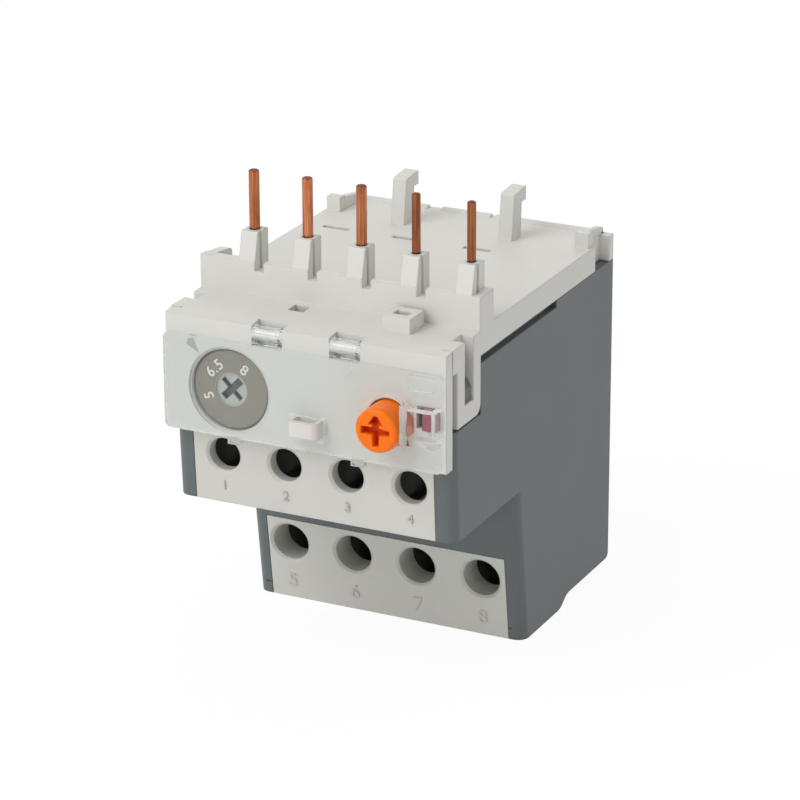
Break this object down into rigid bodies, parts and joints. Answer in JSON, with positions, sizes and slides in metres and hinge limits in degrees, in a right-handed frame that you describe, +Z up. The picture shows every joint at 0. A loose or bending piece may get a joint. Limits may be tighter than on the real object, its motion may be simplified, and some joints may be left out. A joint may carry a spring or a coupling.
{
  "type": "thermal overload relay",
  "caption": "Plug-in thermal overload relay with upright copper contact pins, current dial, reset button, clear sealing cover and two rows of screw terminals.",
  "frame": {"origin": "centre of the bounding box at the level of the foot", "axes": "+X to the right seen from the front, +Y from the front to the back, +Z up along the contact pins"},
  "size_m": [0.045, 0.0632, 0.0729],
  "materials": {
    "dark_plastic": "fine spark-eroded grain, satin",
    "light_plastic": "smooth satin",
    "plate_plastic": "smooth satin",
    "inner_plastic": "plain moulded",
    "clear_plastic": "clear moulded polycarbonate",
    "dial_plastic": "satin with printed scale",
    "orange_plastic": "semi-gloss",
    "violet_plastic": "semi-gloss",
    "copper": "drawn bare copper",
    "brass": "stamped",
    "spring_steel": "rolled",
    "glass_sleeve": "woven glass",
    "plated_steel": "zinc plated"
  },
  "bodies": {
    "housing": {"main_housing": "dark_plastic", "top_cover": "light_plastic", "aux_terminal_block": "plate_plastic", "main_terminal_block": "plate_plastic", "mechanism_frame": "inner_plastic", "line_conductor_1": "copper", "line_conductor_2": "copper", "line_conductor_3": "copper", "coil_conductor": "copper", "control_conductor": "copper", "load_rail_1": "brass", "load_rail_2": "brass", "load_rail_3": "brass", "control_rail": "brass", "break_rail_in": "brass", "break_rail_out": "brass", "make_rail_in": "brass", "make_rail_out": "brass", "snap_spring": "spring_steel", "reset_spring": "spring_steel"},
    "clear_cover": {"clear_cover": "clear_plastic"},
    "current_dial": {"current_dial": "dial_plastic"},
    "reset_plunger": {"reset_plunger": "inner_plastic"},
    "reset_button": {"reset_button": "orange_plastic"},
    "test_slider": {"test_slider": "violet_plastic"},
    "trip_bar": {"trip_bar": "inner_plastic"},
    "adjusting_slide": {"adjusting_slide": "inner_plastic"},
    "trip_lever": {"trip_lever": "inner_plastic"},
    "contact_carrier": {"contact_carrier": "inner_plastic", "break_bridge": "brass", "make_bridge": "brass"},
    "bimetal_1": {"bimetal_strip_1": "spring_steel", "heater_sleeve_1": "glass_sleeve", "heater_winding_1": "spring_steel"},
    "bimetal_2": {"bimetal_strip_2": "spring_steel", "heater_sleeve_2": "glass_sleeve", "heater_winding_2": "spring_steel"},
    "bimetal_3": {"bimetal_strip_3": "spring_steel", "heater_sleeve_3": "glass_sleeve", "heater_winding_3": "spring_steel"},
    "main_clamp_1": {"main_clamp_1": "plated_steel"},
    "main_screw_1": {"main_screw_1": "plated_steel"},
    "main_clamp_2": {"main_clamp_2": "plated_steel"},
    "main_screw_2": {"main_screw_2": "plated_steel"},
    "main_clamp_3": {"main_clamp_3": "plated_steel"},
    "main_screw_3": {"main_screw_3": "plated_steel"},
    "main_clamp_4": {"main_clamp_4": "plated_steel"},
    "main_screw_4": {"main_screw_4": "plated_steel"},
    "aux_clamp_1": {"aux_clamp_1": "plated_steel"},
    "aux_screw_1": {"aux_screw_1": "plated_steel"},
    "aux_clamp_2": {"aux_clamp_2": "plated_steel"},
    "aux_screw_2": {"aux_screw_2": "plated_steel"},
    "aux_clamp_3": {"aux_clamp_3": "plated_steel"},
    "aux_screw_3": {"aux_screw_3": "plated_steel"},
    "aux_clamp_4": {"aux_clamp_4": "plated_steel"},
    "aux_screw_4": {"aux_screw_4": "plated_steel"}
  },
  "joints": [
    {"name": "cover_hinge", "type": "hinge", "parent": "housing", "child": "clear_cover", "pos_m": [0.0003, -0.0266, 0.053], "axis": [-1, 0, 0], "range_deg": [0, 100]},
    {"name": "dial_turn", "type": "hinge", "parent": "housing", "child": "current_dial", "pos_m": [-0.0121, -0.0273, 0.0439], "axis": [0, -1, 0], "range_deg": [-60.5, 60.5]},
    {"name": "reset_push", "type": "slide", "parent": "housing", "child": "reset_plunger", "axis": [0, 1, 0], "range_m": [0, 0.0025], "stiffness_N_per_m": 400, "springref_m": -0.001, "deforming": ["reset_spring"]},
    {"name": "reset_select", "type": "hinge", "parent": "reset_plunger", "child": "reset_button", "pos_m": [0.0134, -0.0273, 0.0433], "axis": [0, -1, 0], "range_deg": [0, 90]},
    {"name": "test_slide", "type": "slide", "parent": "housing", "child": "test_slider", "axis": [-1, 0, 0], "range_m": [0, 0.0012], "stiffness_N_per_m": 200, "springref_m": -0.0005},
    {"name": "trip_bar_slide", "type": "slide", "parent": "housing", "child": "trip_bar", "axis": [1, 0, 0], "range_m": [0, 0.002]},
    {"name": "bimetal_bend_1", "type": "hinge", "parent": "housing", "child": "bimetal_1", "pos_m": [-0.0163, 0.016, 0.0195], "axis": [0, 1, 0], "range_deg": [0, 5]},
    {"name": "bimetal_bend_2", "type": "hinge", "parent": "housing", "child": "bimetal_2", "pos_m": [-0.00558, 0.016, 0.0195], "axis": [0, 1, 0], "range_deg": [0, 5]},
    {"name": "bimetal_bend_3", "type": "hinge", "parent": "housing", "child": "bimetal_3", "pos_m": [0.00514, 0.016, 0.0195], "axis": [0, 1, 0], "range_deg": [0, 5]},
    {"name": "adjusting_shift", "type": "slide", "parent": "housing", "child": "adjusting_slide", "axis": [1, 0, 0], "range_m": [-0.000433, 0.000433]},
    {"name": "trip_lever_turn", "type": "hinge", "parent": "adjusting_slide", "child": "trip_lever", "pos_m": [0.0152, -0.0092, 0.043], "axis": [0, 0, -1], "range_deg": [0, 19]},
    {"name": "contact_shift", "type": "slide", "parent": "housing", "child": "contact_carrier", "axis": [0, 1, 0], "range_m": [0, 0.00179]},
    {"name": "main_clamp_1_open", "type": "slide", "parent": "housing", "child": "main_clamp_1", "axis": [0, -1, 0], "range_m": [0, 0.0022]},
    {"name": "main_screw_1_turn", "type": "hinge", "parent": "main_clamp_1", "child": "main_screw_1", "pos_m": [-0.0163, 0.012, 0.0096], "axis": [0, -1, 0], "range_deg": [0, 1321]},
    {"name": "main_clamp_2_open", "type": "slide", "parent": "housing", "child": "main_clamp_2", "axis": [0, -1, 0], "range_m": [0, 0.0022]},
    {"name": "main_screw_2_turn", "type": "hinge", "parent": "main_clamp_2", "child": "main_screw_2", "pos_m": [-0.00558, 0.012, 0.0096], "axis": [0, -1, 0], "range_deg": [0, 1321]},
    {"name": "main_clamp_3_open", "type": "slide", "parent": "housing", "child": "main_clamp_3", "axis": [0, -1, 0], "range_m": [0, 0.0022]},
    {"name": "main_screw_3_turn", "type": "hinge", "parent": "main_clamp_3", "child": "main_screw_3", "pos_m": [0.00514, 0.012, 0.0096], "axis": [0, -1, 0], "range_deg": [0, 1321]},
    {"name": "main_clamp_4_open", "type": "slide", "parent": "housing", "child": "main_clamp_4", "axis": [0, -1, 0], "range_m": [0, 0.0022]},
    {"name": "main_screw_4_turn", "type": "hinge", "parent": "main_clamp_4", "child": "main_screw_4", "pos_m": [0.01586, 0.012, 0.0096], "axis": [0, -1, 0], "range_deg": [0, 1321]},
    {"name": "aux_clamp_1_open", "type": "slide", "parent": "housing", "child": "aux_clamp_1", "axis": [0, -1, 0], "range_m": [0, 0.0022]},
    {"name": "aux_screw_1_turn", "type": "hinge", "parent": "aux_clamp_1", "child": "aux_screw_1", "pos_m": [-0.01458, -0.0112, 0.0327], "axis": [0, -1, 0], "range_deg": [0, 1585]},
    {"name": "aux_clamp_2_open", "type": "slide", "parent": "housing", "child": "aux_clamp_2", "axis": [0, -1, 0], "range_m": [0, 0.0022]},
    {"name": "aux_screw_2_turn", "type": "hinge", "parent": "aux_clamp_2", "child": "aux_screw_2", "pos_m": [-0.00454, -0.0112, 0.0327], "axis": [0, -1, 0], "range_deg": [0, 1585]},
    {"name": "aux_clamp_3_open", "type": "slide", "parent": "housing", "child": "aux_clamp_3", "axis": [0, -1, 0], "range_m": [0, 0.0022]},
    {"name": "aux_screw_3_turn", "type": "hinge", "parent": "aux_clamp_3", "child": "aux_screw_3", "pos_m": [0.0055, -0.0112, 0.0327], "axis": [0, -1, 0], "range_deg": [0, 1585]},
    {"name": "aux_clamp_4_open", "type": "slide", "parent": "housing", "child": "aux_clamp_4", "axis": [0, -1, 0], "range_m": [0, 0.0022]},
    {"name": "aux_screw_4_turn", "type": "hinge", "parent": "aux_clamp_4", "child": "aux_screw_4", "pos_m": [0.01554, -0.0112, 0.0327], "axis": [0, -1, 0], "range_deg": [0, 1585]}
  ],
  "couplings": [
    {"joint": "bimetal_bend_1", "follows": "trip_bar_slide", "rad_per_m": 40.892},
    {"joint": "bimetal_bend_2", "follows": "trip_bar_slide", "rad_per_m": 40.892},
    {"joint": "bimetal_bend_3", "follows": "trip_bar_slide", "rad_per_m": 40.892},
    {"joint": "trip_lever_turn", "follows": "trip_bar_slide", "rad_per_m": 141.06},
    {"joint": "contact_shift", "follows": "trip_bar_slide", "ratio": 0.89189},
    {"joint": "dial_turn", "follows": "adjusting_shift", "rad_per_m": -2418.5},
    {"joint": "main_screw_1_turn", "follows": "main_clamp_1_open", "rad_per_m": 10472},
    {"joint": "main_screw_2_turn", "follows": "main_clamp_2_open", "rad_per_m": 10472},
    {"joint": "main_screw_3_turn", "follows": "main_clamp_3_open", "rad_per_m": 10472},
    {"joint": "main_screw_4_turn", "follows": "main_clamp_4_open", "rad_per_m": 10472},
    {"joint": "aux_screw_1_turn", "follows": "aux_clamp_1_open", "rad_per_m": 12566},
    {"joint": "aux_screw_2_turn", "follows": "aux_clamp_2_open", "rad_per_m": 12566},
    {"joint": "aux_screw_3_turn", "follows": "aux_clamp_3_open", "rad_per_m": 12566},
    {"joint": "aux_screw_4_turn", "follows": "aux_clamp_4_open", "rad_per_m": 12566}
  ]
}
